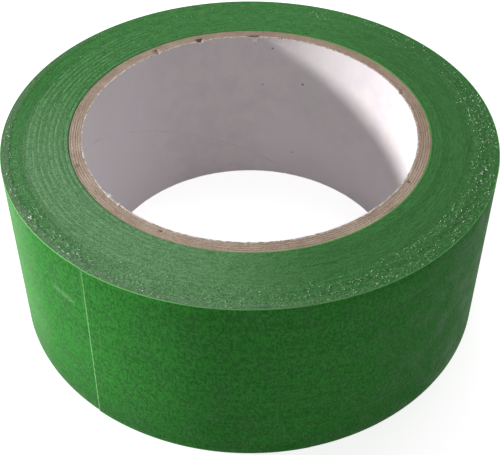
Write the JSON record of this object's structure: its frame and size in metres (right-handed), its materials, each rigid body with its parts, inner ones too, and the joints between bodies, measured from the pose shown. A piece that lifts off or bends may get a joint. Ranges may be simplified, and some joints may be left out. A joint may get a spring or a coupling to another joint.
{
  "type": "masking tape roll",
  "caption": "Roll of green crepe masking tape wound on a lined kraft paperboard core, with a free end that peels away from the roll in hinged stretches.",
  "frame": {"origin": "centre of the roll's lower side, where it rests when lying flat", "axes": "+Z along the roll's axis, upwards from the side it lies on; the cut end of the tape is in the -X -Y quarter, 234.5 degrees anticlockwise from +X"},
  "size_m": [0.1123, 0.1124, 0.0452],
  "materials": {
    "liner": "smooth white lining paper",
    "kraft": "uncoated kraft paperboard",
    "tape_edge": "slit edge of the wound crepe tape, satin",
    "tape_paper": "green saturated crepe paper, low sheen",
    "tape_adhesive": "clear natural rubber adhesive, tacky gloss"
  },
  "bodies": {
    "roll": {"core_liner": "liner", "kraft_ply_1": "kraft", "kraft_ply_2": "kraft", "kraft_ply_3": "kraft", "kraft_ply_4": "kraft", "kraft_ply_5": "kraft", "tape_band_1": "tape_edge", "tape_band_2": "tape_edge", "tape_band_3": "tape_edge", "tape_band_4": "tape_edge", "tape_band_5": "tape_edge", "tape_band_6": "tape_edge", "tape_band_7": "tape_edge", "tape_band_8": "tape_edge", "tape_band_9": "tape_edge", "outer_lap": "tape_paper"},
    "stretch_1": {"end_paper_1": "tape_paper", "end_adhesive_1": "tape_adhesive"},
    "stretch_2": {"end_paper_2": "tape_paper", "end_adhesive_2": "tape_adhesive"},
    "stretch_3": {"end_paper_3": "tape_paper", "end_adhesive_3": "tape_adhesive"},
    "stretch_4": {"end_paper_4": "tape_paper", "end_adhesive_4": "tape_adhesive"}
  },
  "joints": [
    {"name": "peel_1", "type": "hinge", "parent": "roll", "child": "stretch_1", "pos_m": [0.01305, -0.0547, 0.02265], "axis": [0, 0, 1], "range_deg": [0, 30]},
    {"name": "peel_2", "type": "hinge", "parent": "stretch_1", "child": "stretch_2", "pos_m": [0.00117, -0.05623, 0.02265], "axis": [0, 0, 1], "range_deg": [0, 30]},
    {"name": "peel_3", "type": "hinge", "parent": "stretch_2", "child": "stretch_3", "pos_m": [-0.01077, -0.0552, 0.02265], "axis": [0, 0, 1], "range_deg": [0, 30]},
    {"name": "peel_4", "type": "hinge", "parent": "stretch_3", "child": "stretch_4", "pos_m": [-0.02222, -0.05167, 0.02265], "axis": [0, 0, 1], "range_deg": [0, 30]}
  ]
}
